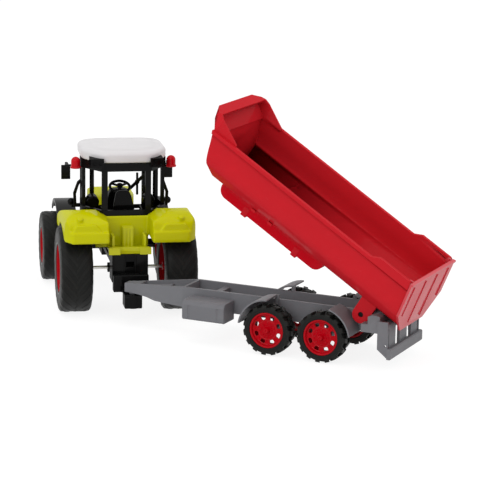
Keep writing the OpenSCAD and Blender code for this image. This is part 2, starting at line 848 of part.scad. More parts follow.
// side outline of the body between its leaning ends
module body_side(d, top) {
    polygon([[rear_x + rear_lean * floor_z, floor_z - 1],
        [front_x + front_lean * (floor_z - 1) - d, floor_z - 1],
        [front_x + front_lean * top - d, top], [rear_x + rear_lean * top, top]]);
}

// rim strip: low at the front, stepped up at the back
module rim_strip() {
    both() run_y(44, body_half - 0.5 - 44) polygon([[rear_x + rear_lean * bead_z, bead_z],
        [front_x + front_lean * bead_z, bead_z], [front_x + front_lean * rim_h, rim_h], [15, rim_h],
            [8, high_rim],
        [-21, high_rim], [gate_x - 1.7, gate_z + 0.9], [gate_x - 1.9, gate_z]]);
}

// forward-leaning headboard with chamfered corners, d further in than its outer face
module headboard_plan(d) {
    both() polygon([[150, -e], [150, head_half - d], [176, head_half - d],
        [lip_x + 4 - 0.7 * d, lip_half - d],
        [head_x - d, lip_tip_half - 0.4 * d], [head_x - d, -e]]);
}

module headboard_side(d) {
    lean = (head_x - front_x - front_lean * rim_h) / (head_z - rim_h);
    polygon([[gusset_x, rim_h - 2], [front_x + front_lean * rim_h - 2 * lean - d, rim_h - 2],
        [head_x - d, head_z], [lip_x, head_z], [gusset_x, rim_h + 0.9]]);
}

module headboard() {
    difference() {
        intersection() {
            translate([0, 0, rim_h - 2]) linear_extrude(20) headboard_plan(0);
            run_y(-50, 100) headboard_side(0);
        }
        intersection() {
            translate([0, 0, rim_h - 3]) linear_extrude(30) headboard_plan(2);
            run_y(-50, 100) polygon([[140, rim_h - 3], [front_x + front_lean * rim_h - 5.2, rim_h - 3],
                [head_x - 3.6, head_z - 1.6], [lip_x, head_z - 1.6], [lip_x, head_z + 9],
                    [140, head_z + 9]]);
        }
    }
}

// open tub with sloping lower sides, a stepped rim, a headboard and two pivot ears
module tipper_body() {
    color("crimson") at_tipper() difference() {
        union() {
            difference() {
                union() {
                    intersection() {
                        run_x(-40, 230) body_section(0, rim_h);
                        run_y(-60, 120) body_side(0, rim_h);
                    }
                    rim_strip();
                }
                intersection() {
                    run_x(-60, 250) body_section(wall, 80);
                    run_y(-60, 120) polygon([[-60, 0], [front_x - 2, 0],
                        [front_x - 2 + front_lean * 80, 80], [-60, 80]]);
                }
            }
            headboard();
            both() run_y(ear_in, ear_out - ear_in) {
                circle(r = ear_r);
                translate([-ear_r, 0]) square([2 * ear_r, floor_z + 0.6]);
            }
            // small bosses under the sloping sides
            for (x = [101.7, 119]) both() block([x - 2, 26, floor_z], [x + 2, 29.6, floor_z + 2]);
        }
        rod_y(pin_bore_r, -60, 60);
        rod_y_at(gate_x, gate_z, gate_pin_r + 0.05, -47, 47);
        // sill that slopes away under the tailgate
        run_y(-40, 80) polygon([[-36, floor_z + wall - 1.4], [-27, floor_z + wall],
            [-36, floor_z + wall]]);
    }
}

// channel under the floor that lies between the frame rails when the body is down
module tipper_rail() {
    x0 = 50;
    x1 = 157;
    low = -1;
    r = 8;
    color("crimson") at_tipper() difference() {
        union() {
            run_y(-12.6, 25.2) {
                translate([x0 + r, low]) square([x1 - x0 - 2 * r, floor_z - low - 0.06]);
                translate([x0, low + r]) square([x1 - x0, floor_z - low - r - 0.06]);
                for (x = [x0 + r, x1 - r]) translate([x, low + r]) circle(r = r);
            }
            for (x = [73, 126]) block([x, -12.9, low - 2], [x + 5, 12.9, low + 6]);
        }
        block([x0 + 4, -10.8, low - 5], [72, 10.8, floor_z - 2]);
        block([79, -10.8, low - 5], [125, 10.8, floor_z - 2]);
        block([132, -10.8, low - 5], [x1 - 4, 10.8, floor_z - 2]);
        block([x0 - 1, -14, floor_z - 0.06], [x1 + 1, 14, floor_z + 6]);
    }
}

// the gate's own frame: its front face is the plane X = 0 and its hinge is at the origin's height
module at_gate() {
    a = atan(rear_lean);
    at_tipper() translate([gate_x, 0, gate_z]) rotate([0, a, 0]) children();
}

// how far above the gate's foot a rib starts
function rib_low(y) = abs(y) > 30 ? 17 : 5;

// flap hung from its top edge, with four upright ribs
module tailgate() {
    a = atan(rear_lean);
    back = 2.26;
    t = 1.8;
    top = 0.9;
    corner = (corner_z - gate_z) / cos(a);
    foot = (10 - gate_z) / cos(a);
    color("salmon") at_gate() {
        difference() {
            union() {
                run_x(-back - t, t) polygon(mirrored([[body_half, top], [body_half - 0.4, corner],
                    [floor_half, foot]]));
                run_x(-back - t - 0.7, 0.7 + e) for (y = [-38, -12.6, 12.6, 38])
                    translate([y - 0.5, foot + rib_low(y)]) square([1, -foot - 4 - rib_low(y)]);
                run_x(-back - t - 1, 1 + e) translate([-body_half, top - 1.6]) square([2 * body_half, 1.6]);
                both() run_y(42, 1.6) {
                    circle(r = 1.8);
                    translate([-back - e, -1.8]) square([back, 3.6]);
                }
            }
            rod_y(gate_pin_r, -50, 50);
            // rebate where the gate passes the rounded corners of the body
            both() block([-back + 0.4, 43.7, -2], [1, 50, 2]);
        }
    }
}

// short pins pressed into the gate's ears, turning in the body's walls
module gate_pins() {
    color("salmon") at_gate() both() rod_y(gate_pin_r, 42, 46.6);
}

chassis();
hitch_block();
rear_axle();
rear_rim_left();
rear_rim_right();
rear_tyre_left();
rear_tyre_right();
front_axle();
front_rim_left();
front_rim_right();
front_tyre_left();
front_tyre_right();
rear_fenders();
rear_linkage();
bonnet();
grille();
headlamps();
front_weight();
front_fender_left();
front_fender_right();
cab_tub();
cab_frame();
seat();
dashboard();
steering_wheel();
wiper();
roof();
work_lamps();
beacons();
mirrors();
handrails();
side_lamps();
tractor_screws();
trailer_frame();
toolboxes();
front_guards();
rear_guards();
rear_bumper();
trailer_front_axle();
trailer_rear_axle();
trailer_rim_fl();
trailer_rim_fr();
trailer_rim_rl();
trailer_rim_rr();
trailer_tyre_fl();
trailer_tyre_fr();
trailer_tyre_rl();
trailer_tyre_rr();
trailer_screws();
tip_pin();
tipper_body();
tipper_rail();
tailgate();
gate_pins();
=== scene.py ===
"""Studio picture of a toy farm tractor with a tipping trailer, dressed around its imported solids."""
import json
import math

import bmesh
import bpy
from mathutils import Matrix, Vector

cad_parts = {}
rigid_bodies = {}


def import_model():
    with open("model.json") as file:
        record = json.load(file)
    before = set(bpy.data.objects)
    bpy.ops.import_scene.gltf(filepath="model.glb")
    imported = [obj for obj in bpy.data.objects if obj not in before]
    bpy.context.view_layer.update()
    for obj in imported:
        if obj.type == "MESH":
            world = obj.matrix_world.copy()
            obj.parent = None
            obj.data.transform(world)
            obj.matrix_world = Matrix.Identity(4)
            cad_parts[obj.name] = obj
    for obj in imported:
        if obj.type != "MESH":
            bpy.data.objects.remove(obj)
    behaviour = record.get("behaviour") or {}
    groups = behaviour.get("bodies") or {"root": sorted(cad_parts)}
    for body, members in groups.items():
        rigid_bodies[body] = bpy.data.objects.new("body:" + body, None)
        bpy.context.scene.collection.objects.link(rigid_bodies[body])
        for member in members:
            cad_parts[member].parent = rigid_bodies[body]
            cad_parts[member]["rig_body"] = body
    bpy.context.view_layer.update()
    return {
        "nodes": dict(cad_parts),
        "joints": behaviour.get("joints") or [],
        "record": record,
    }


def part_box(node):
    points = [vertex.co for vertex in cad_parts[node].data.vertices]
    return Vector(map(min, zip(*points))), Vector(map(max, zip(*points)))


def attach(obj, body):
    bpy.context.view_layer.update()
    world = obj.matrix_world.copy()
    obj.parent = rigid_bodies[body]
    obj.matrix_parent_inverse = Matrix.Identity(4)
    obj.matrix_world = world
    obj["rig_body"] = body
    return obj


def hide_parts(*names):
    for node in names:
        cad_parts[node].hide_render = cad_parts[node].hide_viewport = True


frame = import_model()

MM = 0.001
UP = Vector((0, 0, 1))


# ---------- places, worked out from the joints ----------

JOINT = {joint["name"]: joint for joint in frame["joints"]}


def spot(joint):
    return Vector(JOINT[joint]["pos_m"])


def place(origin, forward, left):
    """Takes a piece from millimetres in its own frame to metres in the toy's."""
    up = forward.cross(left)
    turn = Matrix((forward, left, up)).transposed().to_4x4()
    return Matrix.Translation(origin) @ turn @ Matrix.Scale(MM, 4)


def on_floor(point):
    return Vector((point.x, point.y, 0))


def wheel_place(joint):
    axis = Vector(JOINT[joint]["axis"])
    return place(spot(joint), axis.cross(UP), axis)


TRACTOR = place(on_floor(spot("rear_wheels_roll")), Vector((1, 0, 0)), Vector((0, 1, 0)))
TRAILER_LEFT = Vector(JOINT["tailgate_swing"]["axis"])
TRAILER_AHEAD = TRAILER_LEFT.cross(UP)
TRAILER = place(on_floor(spot("trailer_front_wheels_roll")), TRAILER_AHEAD, TRAILER_LEFT)
TIP = -math.radians(JOINT["body_tip"]["range_deg"][0])
TIPPER_AHEAD = math.cos(TIP) * TRAILER_AHEAD + math.sin(TIP) * UP
TIPPER = place(spot("body_tip"), TIPPER_AHEAD, TRAILER_LEFT)


# ---------- camera ----------

# The lens and the camera's place come from matching the toy's own lines, in millimetres from
# the floor under the tractor's rear axle.
LENS = 178.6
CAMERA_AT = Vector((-1982.8, 239.5, 515.5))
CAMERA_LOOKS = Vector((0.96121, -0.16448, -0.22138)).normalized()
CAMERA_ROLL = math.radians(0.87)


def add_camera():
    data = bpy.data.cameras.new("camera")
    data.lens = LENS
    data.sensor_width = 36
    data.clip_start = 0.05
    data.clip_end = 50
    camera = bpy.data.objects.new("camera", data)
    bpy.context.scene.collection.objects.link(camera)
    right = CAMERA_LOOKS.cross(UP).normalized()
    above = right.cross(CAMERA_LOOKS)
    c, s = math.cos(CAMERA_ROLL), math.sin(CAMERA_ROLL)
    right, above = c * right + s * above, c * above - s * right
    turn = Matrix((right, above, -CAMERA_LOOKS)).transposed().to_4x4()
    camera.matrix_world = Matrix.Translation(TRACTOR @ CAMERA_AT) @ turn
    bpy.context.scene.camera = camera


# ---------- shader maths ----------


class Wire:
    """One value inside a material. Arithmetic on it adds Math nodes."""

    def __init__(self, shader, socket):
        self.shader = shader
        self.socket = socket

    def maths(self, operation, *values):
        return self.shader.node("Math", {"operation": operation}, dict(enumerate(values)))

    def __add__(self, other):
        return self.maths("ADD", self, other)

    def __radd__(self, other):
        return self.maths("ADD", other, self)

    def __sub__(self, other):
        return self.maths("SUBTRACT", self, other)

    def __rsub__(self, other):
        return self.maths("SUBTRACT", other, self)

    def __mul__(self, other):
        return self.maths("MULTIPLY", self, other)

    def __rmul__(self, other):
        return self.maths("MULTIPLY", other, self)


class Shader:
    """A material under construction, with one Principled surface."""

    def __init__(self, name):
        self.material = bpy.data.materials.new(name)
        self.material.use_nodes = True
        self.tree = self.material.node_tree
        self.surface = self.tree.nodes["Principled BSDF"]
        self.at = self.node("TexCoord", out="Object")

    def node(self, kind, settings=None, sockets=None, out=0):
        """Adds a node: its settings first, then the values or links of its sockets."""
        made = self.tree.nodes.new("ShaderNode" + kind)
        for key, value in (settings or {}).items():
            setattr(made, key, value)
        for key, value in (sockets or {}).items():
            self.plug(made, key, value)
        return Wire(self, made.outputs[out])

    def plug(self, node, key, value):
        found = node.inputs[key] if isinstance(key, int) else next(
            s for s in node.inputs if key in (s.identifier, s.name))
        if isinstance(value, Wire):
            self.tree.links.new(value.socket, found)
        elif isinstance(value, tuple) and found.type == "RGBA":
            found.default_value = (*value[:3], 1)
        else:
            found.default_value = value

    def set(self, **values):
        """Sets the surface's sockets; an underscore in a name stands for a space."""
        for key, value in values.items():
            self.plug(self.surface, key.replace("_", " "), value)

    def noise(self, size, detail=2.0, at=None, distortion=0.0):
        """Cloudy noise from 0 to 1 whose features are about size millimetres."""
        return self.node("TexNoise", None, {
            "Vector": at or self.at, "Scale": 1 / (size * MM), "Detail": detail,
            "Distortion": distortion})

    def stretched(self, factors, turn=(0, 0, 0)):
        """The piece's own coordinates, turned and drawn out for a pattern that runs one way."""
        return self.node("Mapping", None, {"Vector": self.at, "Rotation": turn, "Scale": factors})

    def between(self, value, low, high):
        """0 below low, 1 above high, and smooth in between."""
        return self.node("MapRange", {"interpolation_type": "SMOOTHSTEP"}, {
            "Value": value, "From Min": low, "From Max": high})

    def mix(self, share, a, b, blend="MIX"):
        return self.node("Mix", {"data_type": "RGBA", "blend_type": blend}, {
            "Factor_Float": share, "A_Color": a, "B_Color": b}, out=2)

    def bump(self, height, depth_mm, under=None):
        sockets = {"Height": height, "Distance": depth_mm * MM, "Strength": 1.0}
        if under:
            sockets["Normal"] = under
        return self.node("Bump", None, sockets)


def tint(colour, factor):
    return tuple(min(1.0, c * factor) for c in colour)


def toward(colour, other, share):
    return tuple(c + (o - c) * share for c, o in zip(colour, other))


# ---------- finishes ----------

WHITE = (1.0, 1.0, 1.0)


def moulded_plastic(name, colour, rough=0.3, grain=0.45, grain_depth=0.012, coat=0.0, edge_wear_and_highlight=0.35,
                    ripple=0.05, specular=0.5):
    """Injection-moulded plastic: flow marks, fine grain, hairline scratches, and edges paled partly as wear
    and partly as a painted highlight.
    """
    s = Shader(name)
    clouds = s.noise(38, 3)
    streaks = s.noise(7, 4, at=s.stretched((1, 0.16, 1), (0.3, 0.2, 0.6)))
    edge = s.between(s.node("NewGeometry", out="Pointiness"), 0.515, 0.6)
    lines = s.noise(1.6, 2, at=s.stretched((1, 0.02, 1), (0.5, 0.9, 0.3)), distortion=0.4)
    hair = s.between(lines, 0.66, 0.72)
    smudges = s.noise(16, 5, distortion=0.6)
    base = s.mix(clouds, tint(colour, 0.93), tint(colour, 1.05))
    base = s.mix(s.between(streaks, 0.45, 0.8) * 0.35, base, toward(tint(colour, 1.14), WHITE, 0.002))
    # edges paled toward white: partly wear, partly a painted highlight
    base = s.mix(edge * edge_wear_and_highlight, base, toward(colour, WHITE, 0.12))
    base = s.mix(hair * 0.12, base, toward(colour, WHITE, 0.05))
    s.set(Base_Color=base, Roughness=(smudges - 0.5) * 0.16 + hair * 0.08 + edge * 0.08 + rough,
          Specular_IOR_Level=specular, Coat_Weight=coat, Coat_Roughness=0.12)
    soft = s.bump(s.noise(26, 2), ripple)
    fine = s.bump(s.noise(grain, 3), grain_depth, under=soft)
    s.set(Normal=s.bump(hair, -0.004, under=fine))
    return s.material


RUBBER = (0.0075, 0.0077, 0.007)
DUST = (0.03, 0.031, 0.028)
# pale grey of the painted highlight ring on the tyre's bead, next to the rim
BEAD_HIGHLIGHT = (0.16, 0.16, 0.155)
# radians of side wall ringing for each millimetre away from the axle
RINGING = 5.2


def tyre_plastic(name):
    """Soft black tyre with ringed side walls, a painted highlight ring on the bead, mould grain and a trace
    of dust.
    """
    s = Shader(name)
    ring = s.node("Attribute", {"attribute_name": "ring"}, out="Fac")
    side = s.node("Attribute", {"attribute_name": "side"}, out="Fac")
    bead_highlight = s.node("Attribute", {"attribute_name": "bead_highlight"}, out="Fac")
    clouds = s.noise(11, 4)
    dust = s.between(s.noise(2.4, 5, distortion=0.3), 0.5, 0.78)
    edge = s.between(s.node("NewGeometry", out="Pointiness"), 0.52, 0.64)
    base = s.mix(clouds, tint(RUBBER, 0.7), tint(RUBBER, 1.4))
    base = s.mix(dust * 0.2, base, DUST)
    base = s.mix(edge * 0.22, base, DUST)
    # painted highlight ring on the bead
    base = s.mix(bead_highlight * 0.8, base, BEAD_HIGHLIGHT)
    ribs = s.node("Math", {"operation": "SINE"}, {0: ring * RINGING}) * side
    s.set(Base_Color=base, Roughness=clouds * 0.18 + 0.38 + dust * 0.1, Specular_IOR_Level=0.14)
    ringed = s.bump(ribs, 0.07)
    s.set(Normal=s.bump(s.noise(0.7, 3), 0.02, under=ringed))
    return s.material


def drawn_steel(name):
    """Bright drawn wire with fine lines and a few dull spots."""
    s = Shader(name)
    drawn = s.noise(0.9, 3, at=s.stretched((1, 0.05, 1)))
    spots = s.between(s.noise(3.2, 4), 0.6, 0.75)
    s.set(Base_Color=s.mix(spots * 0.5, (0.62, 0.61, 0.58), (0.4, 0.37, 0.33)), Metallic=1.0,
          Roughness=drawn * 0.2 + 0.18 + spots * 0.15)
    s.set(Normal=s.bump(drawn, 0.01))
    return s.material


def lamp_plastic(name, colour):
    """Clear lamp cover, ribbed inside."""
    s = Shader(name)
    ribs = s.node("TexWave", {"wave_type": "BANDS", "bands_direction": "Z"}, {
        "Vector": s.at, "Scale": 900.0, "Distortion": 0.0})
    s.set(Base_Color=s.mix(s.noise(6, 2), tint(colour, 0.85), colour), Roughness=s.noise(5, 3) * 0.1 + 0.12,
          Coat_Weight=0.6, Coat_Roughness=0.05)
    s.set(Normal=s.bump(ribs, 0.05))
    return s.material


FINISH = {
    "lime": moulded_plastic("lime_moulding", (0.56, 0.565, 0.0008), rough=0.3, edge_wear_and_highlight=0.2, specular=0.0,
                           coat=0.2),
    "black": moulded_plastic("black_moulding", (0.003, 0.003, 0.003), rough=0.3, grain=0.5,
                             grain_depth=0.02, edge_wear_and_highlight=0.03, specular=0.0, coat=0.18),
    "dark_grey": moulded_plastic("dark_grey_moulding", (0.019, 0.019, 0.019), rough=0.34, grain_depth=0.02,
                                 edge_wear_and_highlight=0.12, specular=0.1),
    "grey": moulded_plastic("grey_moulding", (0.178, 0.18, 0.193), rough=0.42, grain=0.5, grain_depth=0.02,
                            edge_wear_and_highlight=0.25, specular=0.12),
    "white": moulded_plastic("white_moulding", (0.69, 0.675, 0.682), rough=0.36, edge_wear_and_highlight=0.1, specular=0.2),
    "body_red": moulded_plastic("red_body_moulding", (0.56, 0.0006, 0.009), rough=0.3, edge_wear_and_highlight=0.12,
                                specular=0.0, coat=0.09),
    # the tailgate's red is paler and pinker than the body's: a painted reflection of the white surroundings
    # on red plastic
    "gate_red": moulded_plastic("red_gate_moulding_with_painted_reflection", (0.62, 0.045, 0.062), rough=0.4, grain_depth=0.004,
                                ripple=0.03, edge_wear_and_highlight=0.2, specular=0.0, coat=0.5),
    "wheel_red": moulded_plastic("red_wheel_moulding", (0.46, 0.0006, 0.007), rough=0.3, edge_wear_and_highlight=0.12,
                                 specular=0.0, coat=0.1),
    "beacon_red": moulded_plastic("red_beacon_moulding", (0.52, 0.0008, 0.007), rough=0.16, edge_wear_and_highlight=0.15,
                                  specular=0.14),
    "tyre": tyre_plastic("soft_tyre"),
    "steel": drawn_steel("drawn_steel"),
    "lamp_lens": lamp_plastic("clear_lamp_cover", (0.72, 0.74, 0.76)),
}
SLOT = {part["node"]: part["material_slot"] for part in frame["record"]["subparts"]}


# ---------- making pieces ----------

# how many steps go once round a wheel
AROUND = 96
# the angle in degrees from which an edge counts as one, and is rounded
EDGE_ANGLE = 34
# closer points of a solid, in millimetres, are one point
WELD = 0.03


def add_object(name, mesh):
    made = bpy.data.objects.new(name, mesh)
    bpy.context.scene.collection.objects.link(made)
    return made


def baked(made):
    """Applies the object's modifiers to its mesh."""
    graph = bpy.context.evaluated_depsgraph_get()
    mesh = bpy.data.meshes.new_from_object(made.evaluated_get(graph))
    made.modifiers.clear()
    made.data = mesh
    return made


def modifier(made, kind, **settings):
    added = made.modifiers.new(kind.lower(), kind)
    for key, value in settings.items():
        setattr(added, key, value)
    return added


def shade(mesh, angle):
    """Smooth shading, but for edges sharper than the angle in degrees."""
    for face in mesh.polygons:
        face.use_smooth = True
    mesh.set_sharp_from_angle(angle=math.radians(angle))


def settle(made, body, slot, *stands_for, angle):
    """Gives a finished mesh its material, its shading and the body that it rides on."""
    made.data.materials.clear()
    made.data.materials.append(FINISH[slot])
    if angle:
        shade(made.data, angle)
    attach(made, body)
    if stands_for:
        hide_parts(*stands_for)
    return made


def merged_copy(node):
    """A node's solid as one clean mesh, with its flat faces whole."""
    work = bmesh.new()
    work.from_mesh(frame["nodes"][node].data)
    bmesh.ops.remove_doubles(work, verts=work.verts, dist=WELD * MM)
    bmesh.ops.dissolve_degenerate(work, edges=work.edges, dist=0.02 * MM)
    bmesh.ops.dissolve_limit(work, angle_limit=math.radians(0.6), verts=work.verts, edges=work.edges)
    mesh = bpy.data.meshes.new(node)
    work.to_mesh(mesh)
    work.free()
    return add_object(node + "_moulding", mesh)


def rounded(node, radius):
    """The node's own shape with its edges rounded."""
    made = merged_copy(node)
    shade(made.data, EDGE_ANGLE)
    modifier(made, "BEVEL", width=radius * MM, segments=2, limit_method="ANGLE",
             angle_limit=math.radians(EDGE_ANGLE), use_clamp_overlap=True, harden_normals=True)
    baked(made)
    return settle(made, frame["nodes"][node]["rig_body"], SLOT[node], node, angle=None)


def softened(node, voxel, passes):
    """The node's shape with every edge and crease blended, as on a flowing moulding."""
    made = merged_copy(node)
    modifier(made, "REMESH", mode="VOXEL", voxel_size=voxel * MM)
    modifier(made, "SMOOTH", factor=0.5, iterations=passes)
    baked(made)
    return settle(made, frame["nodes"][node]["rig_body"], SLOT[node], node, angle=60)


def joined_rings(rings, close_ends=True):
    """Faces between rings of points that follow one another, as a closed skin."""
    work = bmesh.new()
    rows = [[work.verts.new(p) for p in ring] for ring in rings]
    for low, high in zip(rows, rows[1:]):
        for i in range(len(low)):
            j = (i + 1) % len(low)
            work.faces.new((low[i], low[j], high[j], high[i]))
    if close_ends:
        work.faces.new(list(reversed(rows[0])))
        work.faces.new(rows[-1])
    return work


def spun(line):
    """A closed outline of (radius, place along the axle) turned all the way round."""
    rings = []
    for i in range(AROUND):
        a = 2 * math.pi * i / AROUND
        rings.append([(q * math.sin(a), y, q * math.cos(a)) for q, y in line])
    return joined_rings(rings + [rings[0]], close_ends=False)


def as_mesh(work, name, where):
    """A mesh built in millimetres, closed up, facing outwards and moved to where it belongs."""
    bmesh.ops.remove_doubles(work, verts=work.verts, dist=0.002)
    bmesh.ops.recalc_face_normals(work, faces=work.faces)
    mesh = bpy.data.meshes.new(name)
    work.to_mesh(mesh)
    work.free()
    mesh.transform(where)
    return mesh


def eased(points, d, steps):
    """A line of points whose inner corners are eased into curves that begin d before them."""
    line = [Vector(p) for p in points]
    out = [line[0]]
    for a, b, c in zip(line, line[1:], line[2:]):
        u = b + (a - b) * min(0.48, d / (a - b).length)
        v = b + (c - b) * min(0.48, d / (c - b).length)
        for i in range(steps + 1):
            t = i / steps
            out.append((1 - t) ** 2 * u + 2 * t * (1 - t) * b + t * t * v)
    return out + [line[-1]]


# ---------- wheels, by their joints ----------


def turned_sizes(node, joint):
    """Radius and width of a node that turns on a joint, in millimetres."""
    axis = Vector(JOINT[joint]["axis"])
    along = [v.co.dot(axis) for v in frame["nodes"][node].data.vertices]
    high = max(v.co.z for v in frame["nodes"][node].data.vertices)
    return (high - spot(joint).z) / MM, (max(along) - min(along)) / MM


def along_axle(node, joint):
    """How far left of its joint the middle of a node lies, in millimetres."""
    low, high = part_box(node)
    return ((low + high) / 2 - spot(joint)).dot(Vector(JOINT[joint]["axis"])) / MM


# ---------- tyres ----------

# wheels with a smaller rim than this have no painted highlight ring round the rim
BEAD_HIGHLIGHT_FROM = 16


def tyre_profiles(r, w, lug):
    """The tread's outer line over the bars and the carcass line under them, both from the middle
    of the tread to the outer side wall, as (radius, distance from the middle)."""
    curl = 0.08 * w
    half = w / 2
    over = [(r, 0), (r, 0.4 * half), (r, half - 2.4 * curl), (r - 0.3 * curl, half - 0.9 * curl),
            (r - 0.9 * curl, half - 0.32 * curl), (r - 2.1 * curl, half - 0.02 * curl),
            (r - 3.0 * curl, half)]
    under = [(a - lug if i < 5 else a - 0.25 * lug, b - (0 if i < 3 else 0.12 * lug * (i - 2)))
             for i, (a, b) in enumerate(over)]
    return over, under


def add_ring_marks(mesh, centre, axis, rim_r, tread_r):
    """Stores how far each point is from the axle, and whether it lies on a side wall or on the
    bead, the tyre's edge against the rim, where a painted highlight ring goes."""
    highlight_ring_low, highlight_ring_high, wall_low = rim_r + 0.2, rim_r + 1.3, rim_r + 1.8
    ring = mesh.attributes.new("ring", "FLOAT", "POINT")
    side = mesh.attributes.new("side", "FLOAT", "POINT")
    bead_highlight = mesh.attributes.new("bead_highlight", "FLOAT", "POINT")
    for i, vertex in enumerate(mesh.vertices):
        away = vertex.co - centre
        radius = (away - axis * away.dot(axis)).length / MM
        ring.data[i].value = radius
        side.data[i].value = 1.0 if wall_low < radius < tread_r else 0.0
        bead_highlight.data[i].value = 1.0 if highlight_ring_low < radius < highlight_ring_high and rim_r > BEAD_HIGHLIGHT_FROM else 0.0


def lug_bar(work, over, under, side, start, lean, wide):
    """One bar of the tread, from the middle of the tyre round its shoulder. Its foot reaches a
    little into the carcass and past the middle, so that no gap shows."""
    sunk, past_middle, flare = 0.5, 0.6, 0.35
    rows = []
    for i, ((r_top, y), (r_low, y_low)) in enumerate(zip(over, under)):
        along = y / over[-1][1]
        middle = start + lean * min(1.0, along) ** 0.85
        half = wide * (0.5 + 0.22 * along)
        if i == 0:
            y, y_low = y - past_middle, y_low - past_middle
        row = []
        for r, yy, h in ((r_low - sunk, y_low, half + flare), (r_top, y, half), (r_top, y, -half),
                         (r_low - sunk, y_low, -half - flare)):
            a = middle + h / r_top
            row.append(work.verts.new((r * math.sin(a), side * yy, r * math.cos(a))))
        rows.append(row)
    for low, high in zip(rows, rows[1:]):
        for k in range(4):
            n = (k + 1) % 4
            work.faces.new((low[k], low[n], high[n], high[k]))
    work.faces.new(rows[0])
    work.faces.new(list(reversed(rows[-1])))


def ring_tree(name, material):
    """Geometry Nodes: joins a piece with copies of another, repeated around the axle."""
    tree = bpy.data.node_groups.new(name, "GeometryNodeTree")
    face = tree.interface
    face.new_socket("Base", in_out="INPUT", socket_type="NodeSocketGeometry")
    face.new_socket("Repeated", in_out="INPUT", socket_type="NodeSocketObject")
    face.new_socket("Count", in_out="INPUT", socket_type="NodeSocketInt")
    face.new_socket("Wheel", in_out="OUTPUT", socket_type="NodeSocketGeometry")

    def node(kind, settings=None, sockets=None):
        made = tree.nodes.new(kind)
        for key, value in (settings or {}).items():
            setattr(made, key, value)
        for key, value in (sockets or {}).items():
            if isinstance(value, bpy.types.NodeSocket):
                tree.links.new(value, made.inputs[key])
            else:
                made.inputs[key].default_value = value
        return made

    given = node("NodeGroupInput")
    single = node("GeometryNodeObjectInfo", {"transform_space": "ORIGINAL"}, {
        "Object": given.outputs["Repeated"]})
    line = node("GeometryNodeMeshLine", None, {"Count": given.outputs["Count"], "Offset": (0, 0, 0)})
    share = node("ShaderNodeMath", {"operation": "DIVIDE"}, {
        0: node("GeometryNodeInputIndex").outputs[0], 1: given.outputs["Count"]})
    angle = node("ShaderNodeMath", {"operation": "MULTIPLY"}, {0: share.outputs[0], 1: 2 * math.pi})
    turn = node("ShaderNodeCombineXYZ", None, {"Y": angle.outputs[0]})
    copies = node("GeometryNodeInstanceOnPoints", None, {
        "Points": line.outputs[0], "Instance": single.outputs["Geometry"], "Rotation": turn.outputs[0]})
    both = node("GeometryNodeJoinGeometry")
    tree.links.new(given.outputs["Base"], both.inputs[0])
    tree.links.new(copies.outputs[0], both.inputs[0])
    real = node("GeometryNodeRealizeInstances", None, {"Geometry": both.outputs[0]})
    done = node("GeometryNodeSetMaterial", None, {"Geometry": real.outputs[0], "Material": material})
    tree.links.new(done.outputs[0], node("NodeGroupOutput").inputs[0])
    return tree


def give_inputs(added, **values):
    """Sets a Geometry Nodes modifier's inputs by their sockets' identifiers."""
    for item in added.node_group.interface.items_tree:
        if item.in_out == "INPUT" and item.name in values:
            added[item.identifier] = values[item.name]


TREAD = ring_tree("tread", FINISH["tyre"])
BOLTS = ring_tree("rim_bolts", FINISH["wheel_red"])


def tyre(node, joint, r, rim_r, w, lug, bars, lean, wide):
    """A tyre with leaning bars all round it, the two sides' bars half a step apart."""
    over, under = tyre_profiles(r, w, lug)
    half = w / 2
    inner = [(rim_r + 2.4, half - 0.1), (rim_r + 1.6, half - 0.1), (rim_r + 1.1, half - 0.02),
             (rim_r + 0.3, half - 0.3), (rim_r + 0.02, half - 1)]
    wall = under + [(r - 0.3 * (r - rim_r), half - 0.35), (r - 0.55 * (r - rim_r), half - 0.1)] + inner
    line = [(a, -b) for a, b in reversed(wall)] + wall[1:]
    where = wheel_place(joint) @ Matrix.Translation((0, along_axle(node, joint), 0))
    carcass = add_object(node + "_tread", as_mesh(spun(line), node, Matrix()))
    work = bmesh.new()
    lug_bar(work, over, under, 1, 0, lean, wide)
    lug_bar(work, over, under, -1, math.pi / bars, lean, wide)
    pair = add_object(node + "_bars", as_mesh(work, node + "_bars", Matrix()))
    pair.data.shade_flat()
    tread = modifier(carcass, "NODES", node_group=TREAD)
    give_inputs(tread, Repeated=pair, Count=bars)
    baked(carcass)
    bpy.data.objects.remove(pair)
    carcass.data.transform(where)
    add_ring_marks(carcass.data, where.translation, Vector(JOINT[joint]["axis"]), rim_r, r - lug - 0.5)
    return settle(carcass, frame["nodes"][node]["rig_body"], "tyre", node, angle=40)


# ---------- rims ----------

# openings round a rim, the steps that each takes up, and the steps between which it is open
WINDOWS = 8
PER_WINDOW = 12
OPEN_FROM, OPEN_TO = 3, 9
# in millimetres: the disc's thickness, the axle's bore and the hub's tube round it
DISC = 1.4
BORE = 1.56
TUBE = 3.4


def pierced_disc(line, first, last):
    """A disc through the points of a line, with eight rounded openings between two of its rings."""
    work = bmesh.new()
    count = WINDOWS * PER_WINDOW
    middle = (line[first][0] + line[last][0]) / 2
    grid = []
    for i, (radius, y) in enumerate(line):
        row = []
        for k in range(count):
            step = k % PER_WINDOW
            q, turn = radius, float(k)
            if i in (first, last) and step in (OPEN_FROM, OPEN_TO):
                q += 0.3 * (middle - radius)
                turn += 0.35 if step == OPEN_FROM else -0.35
            if i in (first, last) and step in (OPEN_FROM + 1, OPEN_TO - 1):
                q += 0.05 * (middle - radius)
            a = 2 * math.pi * turn / count
            row.append(work.verts.new((q * math.sin(a), y, q * math.cos(a))))
        grid.append(row)
    for i, (low, high) in enumerate(zip(grid, grid[1:])):
        for k in range(count):
            if first <= i < last and OPEN_FROM <= k % PER_WINDOW < OPEN_TO:
                continue
            n = (k + 1) % count
            work.faces.new((low[k], low[n], high[n], high[k]))
    return work


